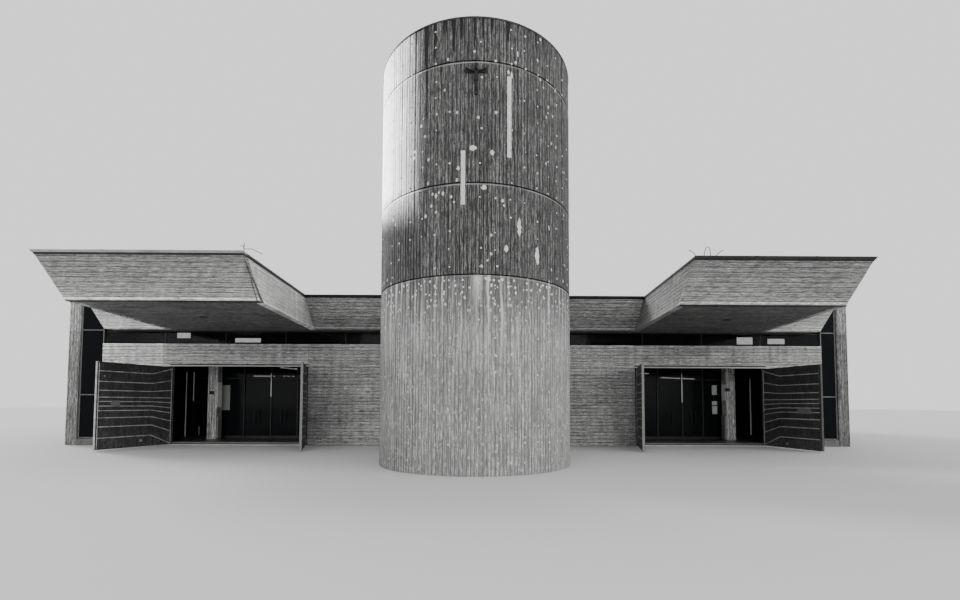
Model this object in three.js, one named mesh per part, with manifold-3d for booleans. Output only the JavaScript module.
// Modern concrete church with a round tower between two wings of leaning canopies.
// Millimetres, +Z up, +Y away from the viewer. The drawing axis is the tower's axis,
// and the finished group is moved so that its box stands centred on the origin.
import * as THREE from 'three';
import { mergeVertices } from 'three/addons/utils/BufferGeometryUtils.js';
import Module from 'manifold-3d';

const wasm = await Module();
wasm.setup();

// Heights above the ground
const soffitZ = 4400;
const roofTopZ = 5470;
const lintelZ = 3110;
const beamTopZ = 3890;
const floorZ = 100;
const plinthZ = 250;

// Thicknesses
const wallT = 300;
const plateT = 200;
const slabT = 200;
const sideRoofT = 150;
const glassT = 30;
const plinthT = 200;

// Depths along Y from the tower's axis
const lowFasciaY = 4500;
const wallFrontY = 4940;
const wallBackY = wallFrontY + wallT;
const columnFrontY = 6700;
const columnSize = 390;
const screenY = 7250;
const hallDepth = 14300;
const rearOuterY = wallFrontY + hallDepth;
const rearInnerY = rearOuterY - wallT;
const rearFasciaY = rearOuterY + (wallFrontY - lowFasciaY);
const lean = 1025;

// Tower
const towerR = 2600;
const towerWallT = 300;
const towerSides = 48;
const liftTops = [4520, 6630, 9480, 10530];
const towerRoofZ = 9950;
const towerRoofT = 200;
const jointGap = 0.3;

// Side piers
const pierDepth = 600;
const piersPerSide = 4;
const pierProjection = 40;

// Gates
const leafT = 80;
const leafBottomZ = 40;
const leafTopZ = 2990;
const hingeInset = 80;
const hingeY = wallFrontY + 50;
const meetingGap = 6;
const sillClearance = 65;
const pinR = 20;
const pinFootZ = 5;

// Cross on the tower
const crossFootZ = 8660;
const crossH = 750;
const crossW = 530;
const crossArmZ = 9185;
const crossBar = 55;
const crossT = 45;

// Widths of each wing, measured out from the tower's axis
const wings = [
  {
    name: 'left', sign: -1, canopyFront: -210,
    frontOuter: 11250, frontInner: 5920, backInner: 6080, backOuter: 11700,
    roofEnd: 13965, wallEnd: 14340, jambOuter: 11745, jambInner: 6450,
    pierInner: 15220, pierOuter: 15640, column: 11090, screenOuter: 13300, screenInner: 5500,
    meeting: 9060, outerOpen: 111, innerOpen: 107,
  },
  {
    name: 'right', sign: 1, canopyFront: -20,
    frontOuter: 10480, frontInner: 5740, backInner: 6060, backOuter: 11125,
    roofEnd: 13145, wallEnd: 13500, jambOuter: 11285, jambInner: 6200,
    pierInner: 14100, pierOuter: 14520, column: 10880, screenOuter: 12800, screenInner: 5100,
    meeting: 8775, outerOpen: 102, innerOpen: 105,
  },
];
const [left, right] = wings;

// Materials
const concrete = new THREE.MeshStandardMaterial({ color: 0x8c8c8a, roughness: 0.9, metalness: 0 });
const darkConcrete = new THREE.MeshStandardMaterial({ color: 0x6b6b6a, roughness: 0.9, metalness: 0 });
const glass = new THREE.MeshStandardMaterial({ color: 0x15181a, roughness: 0.1, metalness: 0 });
const gatePaint = new THREE.MeshStandardMaterial({ color: 0x2b2b2c, roughness: 0.6, metalness: 0.3 });
const crossPaint = new THREE.MeshStandardMaterial({ color: 0x111111, roughness: 0.6, metalness: 0.3 });
const screed = new THREE.MeshStandardMaterial({ color: 0x4a4a49, roughness: 0.8, metalness: 0 });

const building = new THREE.Group();

function addPiece(name, geometry, material, parent = building) {
  const mesh = new THREE.Mesh(geometry, material);
  mesh.name = name;
  parent.add(mesh);
  return mesh;
}

// A closed box between two corners
function box(x0, x1, y0, y1, z0, z1) {
  const geometry = new THREE.BoxGeometry(Math.abs(x1 - x0), y1 - y0, z1 - z0);
  return geometry.translate((x0 + x1) / 2, (y0 + y1) / 2, (z0 + z1) / 2);
}

// A plan outline raised from z0 to z1, with its top pushed along Y by shift
function raised(plan, z0, z1, shift = 0) {
  const shape = new THREE.Shape(plan.map(([x, y]) => new THREE.Vector2(x, y)));
  const geometry = new THREE.ExtrudeGeometry(shape, { depth: z1 - z0, bevelEnabled: false });
  const slope = shift / (z1 - z0);
  const shear = new THREE.Matrix4().set(
    1, 0, 0, 0,
    0, 1, slope, 0,
    0, 0, 1, z0,
    0, 0, 0, 1,
  );
  return geometry.applyMatrix4(shear);
}

// The forward push that a leaning plate has gained at height z
function leanAt(z) {
  return lean * (z - soffitZ) / (roofTopZ - soffitZ);
}

// The canopy's outer or inner edge at depth y, for a plate that is inset from it
function canopyEdge(wing, edge, y, inset = 0) {
  const [front, back] = edge === 'outer' ? [wing.frontOuter, wing.backOuter] : [wing.frontInner, wing.backInner];
  const t = (y - wing.canopyFront) / (lowFasciaY - wing.canopyFront);
  const reach = THREE.MathUtils.lerp(front, back, t);
  return wing.sign * (reach + (edge === 'outer' ? -inset : inset));
}

function toSolid(geometry) {
  const bare = geometry.index ? geometry.toNonIndexed() : geometry.clone();
  bare.deleteAttribute('normal');
  bare.deleteAttribute('uv');
  const merged = mergeVertices(bare, 1e-3);
  const mesh = new wasm.Mesh({
    numProp: 3,
    vertProperties: Float32Array.from(merged.attributes.position.array),
    triVerts: Uint32Array.from(merged.index.array),
  });
  return new wasm.Manifold(mesh);
}

function toGeometry(solid) {
  const mesh = solid.getMesh();
  const geometry = new THREE.BufferGeometry();
  geometry.setAttribute('position', new THREE.BufferAttribute(mesh.vertProperties, 3));
  geometry.setIndex(new THREE.BufferAttribute(mesh.triVerts, 1));
  geometry.computeVertexNormals();
  return geometry;
}

function joined(...geometries) {
  return toGeometry(geometries.map(toSolid).reduce((whole, next) => whole.add(next)));
}

// Tower: a round shell cast in lifts, closed by a slab below its rim
function addTower() {
  let foot = 0;
  liftTops.forEach((top, index) => {
    addPiece(`tower_lift_${index + 1}`, towerRing(towerR, towerR - towerWallT, foot, top), concrete);
    foot = top;
  });
  const slabR = towerR - towerWallT - jointGap;
  const slab = new THREE.CylinderGeometry(slabR, slabR, towerRoofT, towerSides);
  slab.rotateX(Math.PI / 2).rotateZ(Math.PI / towerSides + Math.PI / 2);
  slab.translate(0, 0, towerRoofZ + towerRoofT / 2);
  addPiece('tower_roof', slab, darkConcrete);
}

function towerRing(outer, inner, z0, z1) {
  const profile = [[inner, z0], [outer, z0], [outer, z1], [inner, z1], [inner, z0]];
  const points = profile.map(([r, z]) => new THREE.Vector2(r, z));
  const ring = new THREE.LatheGeometry(points, towerSides, Math.PI / towerSides);
  return ring.rotateX(Math.PI / 2);
}

function addCross() {
  const backY = -towerR * Math.cos(Math.PI / towerSides) - jointGap;
  const frontY = backY - crossT;
  const upright = box(-crossBar / 2, crossBar / 2, frontY, backY, crossFootZ, crossFootZ + crossH);
  const arm = box(-crossW / 2, crossW / 2, frontY, backY, crossArmZ, crossArmZ + crossBar);
  addPiece('wall_cross', joined(upright, arm), crossPaint);
}

// Roof slab over the hall, its front and rear edges leaning with the fascias
function addMainRoof() {
  const y0 = lowFasciaY + plateT + jointGap;
  const y1 = rearFasciaY - plateT - jointGap;
  const out = leanAt(soffitZ + slabT);
  const section = [
    [y0, soffitZ], [y1, soffitZ], [y1 + out, soffitZ + slabT], [y0 - out, soffitZ + slabT],
  ];
  const shape = new THREE.Shape(section.map(([y, z]) => new THREE.Vector2(y, z)));
  const length = left.roofEnd + right.roofEnd;
  const geometry = new THREE.ExtrudeGeometry(shape, { depth: length, bevelEnabled: false });
  const axes = new THREE.Matrix4().makeBasis(
    new THREE.Vector3(0, 1, 0), new THREE.Vector3(0, 0, 1), new THREE.Vector3(1, 0, 0),
  );
  geometry.applyMatrix4(axes).translate(-left.roofEnd, 0, 0);
  addPiece('main_roof', geometry, darkConcrete);
}

function addLowFascias() {
  const y0 = lowFasciaY;
  const y1 = lowFasciaY + plateT;
  const centre = [
    [canopyEdge(left, 'inner', y0, -jointGap), y0], [canopyEdge(right, 'inner', y0, -jointGap), y0],
    [canopyEdge(right, 'inner', y1, -jointGap), y1], [canopyEdge(left, 'inner', y1, -jointGap), y1],
  ];
  addPiece('low_fascia_centre', raised(centre, soffitZ, roofTopZ, -lean), concrete);
  wings.forEach((wing) => {
    const end = wing.sign * wing.roofEnd;
    const near = (y) => [canopyEdge(wing, 'outer', y, -jointGap), y];
    const plan = [[end, y0], near(y0), near(y1), [end, y1]];
    addPiece(`low_fascia_${wing.name}`, raised(ordered(plan, wing), soffitZ, roofTopZ, -lean), concrete);
  });
  const rear = [
    [-left.roofEnd, rearFasciaY - plateT], [right.roofEnd, rearFasciaY - plateT],
    [right.roofEnd, rearFasciaY], [-left.roofEnd, rearFasciaY],
  ];
  addPiece('rear_fascia', raised(rear, soffitZ, roofTopZ, lean), concrete);
}

// A plan drawn for the left wing runs the other way round when it is mirrored
function ordered(plan, wing) {
  return wing.sign < 0 ? plan : plan.slice().reverse();
}

// Canopy: soffit slab, leaning front fascia and two side plates
function addCanopy(wing) {
  const y0 = wing.canopyFront;
  const y1 = y0 + plateT;
  const y2 = lowFasciaY + plateT;
  const ys = y1 + jointGap;
  const slabInset = plateT + jointGap;
  const outer = (y, inset) => [canopyEdge(wing, 'outer', y, inset), y];
  const inner = (y, inset) => [canopyEdge(wing, 'inner', y, inset), y];
  const front = [outer(y0, 0), inner(y0, 0), inner(y1, 0), outer(y1, 0)];
  const outerSide = [outer(ys, 0), outer(ys, plateT), outer(y2, plateT), outer(y2, 0)];
  const innerSide = [inner(ys, plateT), inner(ys, 0), inner(y2, 0), inner(y2, plateT)];
  const slab = [outer(ys, slabInset), inner(ys, slabInset), inner(y2, slabInset), outer(y2, slabInset)];
  const slabTop = soffitZ + slabT;
  const full = (plan) => raised(ordered(plan, wing), soffitZ, roofTopZ, -lean);
  addPiece(`canopy_front_${wing.name}`, full(front), concrete);
  addPiece(`canopy_outer_side_${wing.name}`, full(outerSide), concrete);
  addPiece(`canopy_inner_side_${wing.name}`, full(innerSide), concrete);
  const slabShape = raised(ordered(slab, wing), soffitZ, slabTop, -leanAt(slabTop));
  addPiece(`canopy_slab_${wing.name}`, slabShape, darkConcrete);
}

// Front wall: outer panel, lintel over the gates, and the long panel behind the tower
function addFrontWall() {
  wings.forEach((wing) => {
    const x = (reach) => wing.sign * reach;
    const panel = box(x(wing.wallEnd), x(wing.jambOuter), wallFrontY, wallBackY, 0, beamTopZ);
    const lintel = box(x(wing.jambOuter), x(wing.jambInner), wallFrontY, wallBackY, lintelZ, beamTopZ);
    addPiece(`front_wall_${wing.name}`, panel, concrete);
    addPiece(`lintel_${wing.name}`, lintel, concrete);
  });
  const centre = box(-left.jambInner, right.jambInner, wallFrontY, wallBackY, 0, beamTopZ);
  addPiece('front_wall_centre', centre, concrete);
}

function addRearWall() {
  const wall = box(-left.wallEnd, right.wallEnd, rearInnerY, rearOuterY, 0, beamTopZ);
  addPiece('rear_wall', wall, concrete);
}

// Clerestory: one sheet of glass between each wall top and the soffit
function addClerestory() {
  const inset = (wallT - glassT) / 2;
  const front = wallFrontY + inset;
  const rear = rearInnerY + inset;
  const sheet = (y) => box(-left.wallEnd, right.wallEnd, y, y + glassT, beamTopZ, soffitZ);
  addPiece('clerestory_front', sheet(front), glass);
  addPiece('clerestory_rear', sheet(rear), glass);
}

// Side bay: end plate of the roof, piers, plinth, glass and a narrow roof over them
function addSideBay(wing) {
  const x = (reach) => wing.sign * reach;
  const endPlate = box(x(wing.wallEnd), x(wing.roofEnd), wallFrontY, rearOuterY, soffitZ + slabT, roofTopZ);
  addPiece(`roof_end_${wing.name}`, endPlate, concrete);
  const roofX = wing.pierOuter + pierProjection;
  const cover = box(x(roofX), x(wing.roofEnd), wallFrontY, rearOuterY, roofTopZ, roofTopZ + sideRoofT);
  addPiece(`side_roof_${wing.name}`, cover, concrete);
  const pitch = (hallDepth - pierDepth) / (piersPerSide - 1);
  for (let index = 0; index < piersPerSide; index += 1) {
    const y = wallFrontY + index * pitch;
    const pier = box(x(wing.pierOuter), x(wing.pierInner), y, y + pierDepth, 0, roofTopZ);
    addPiece(`side_pier_${wing.name}_${index + 1}`, pier, concrete);
  }
  const plinth = bracket(wing, wallFrontY, rearOuterY, plinthT);
  addPiece(`side_plinth_${wing.name}`, raised(plinth, 0, plinthZ), darkConcrete);
  const paneInset = (plinthT - glassT) / 2;
  const pane = bracket(wing, wallFrontY + paneInset, rearOuterY - paneInset, glassT);
  addPiece(`side_glass_${wing.name}`, raised(pane, plinthZ, roofTopZ), glass);
}

// Three-sided plan that runs from the front wall's end, along the piers, to the rear wall
function bracket(wing, y0, y1, thickness) {
  const x = (reach) => wing.sign * reach;
  const plan = [
    [x(wing.wallEnd), y0], [x(wing.wallEnd), y0 + thickness],
    [x(wing.pierInner - thickness), y0 + thickness], [x(wing.pierInner - thickness), y1 - thickness],
    [x(wing.wallEnd), y1 - thickness], [x(wing.wallEnd), y1],
    [x(wing.pierInner), y1], [x(wing.pierInner), y0],
  ];
  return ordered(plan, wing);
}

// Hall floor, with a tongue into each gateway
function addFloor() {
  const sillY = hingeY + sillClearance;
  const x0 = -left.pierInner + plinthT;
  const x1 = right.pierInner - plinthT;
  const plan = [
    [x0, wallBackY], [-left.jambOuter, wallBackY], [-left.jambOuter, sillY],
    [-left.jambInner, sillY], [-left.jambInner, wallBackY], [right.jambInner, wallBackY],
    [right.jambInner, sillY], [right.jambOuter, sillY], [right.jambOuter, wallBackY],
    [x1, wallBackY], [x1, rearInnerY], [x0, rearInnerY],
  ];
  addPiece('hall_floor', raised(plan, 0, floorZ), screed);
}

function addPorch(wing) {
  const x = (reach) => wing.sign * reach;
  const half = columnSize / 2;
  const column = box(
    x(wing.column - half), x(wing.column + half), columnFrontY, columnFrontY + columnSize, floorZ, soffitZ,
  );
  addPiece(`porch_column_${wing.name}`, column, concrete);
  const screen = box(x(wing.screenOuter), x(wing.screenInner), screenY, screenY + glassT, floorZ, soffitZ);
  addPiece(`entrance_screen_${wing.name}`, screen, glass);
}

// A gate leaf drawn closed from its pivot, then turned open as it stands
function addGates(wing) {
  const hinges = [
    { name: 'outer', reach: wing.jambOuter - hingeInset, toward: -wing.sign, open: wing.outerOpen },
    { name: 'inner', reach: wing.jambInner + hingeInset, toward: wing.sign, open: wing.innerOpen },
  ];
  hinges.forEach((hinge) => {
    const length = Math.abs(wing.meeting - hinge.reach) - meetingGap;
    const pivot = new THREE.Group();
    pivot.position.set(wing.sign * hinge.reach, hingeY, 0);
    pivot.rotation.z = -hinge.toward * THREE.MathUtils.degToRad(hinge.open);
    building.add(pivot);
    addPiece(`gate_${wing.name}_${hinge.name}`, leaf(hinge.toward, length), gatePaint, pivot);
  });
}

function leaf(toward, length) {
  const heel = -toward * leafT / 2;
  const panel = box(heel, toward * length, -leafT / 2, leafT / 2, leafBottomZ, leafTopZ);
  const pinTopZ = lintelZ - jointGap;
  const pin = new THREE.CylinderGeometry(pinR, pinR, pinTopZ - pinFootZ, 16);
  pin.rotateX(Math.PI / 2).translate(0, 0, (pinTopZ + pinFootZ) / 2);
  return joined(panel, pin);
}

addTower();
addCross();
addMainRoof();
addLowFascias();
addFrontWall();
addRearWall();
addClerestory();
addFloor();
wings.forEach((wing) => {
  addCanopy(wing);
  addSideBay(wing);
  addPorch(wing);
  addGates(wing);
});

// The whole box stands centred on the origin
const centred = new THREE.Group();
centred.add(building);
const bounds = new THREE.Box3().setFromObject(centred);
const middle = bounds.getCenter(new THREE.Vector3());
building.position.set(-middle.x, -middle.y, -bounds.min.z);

export default centred;
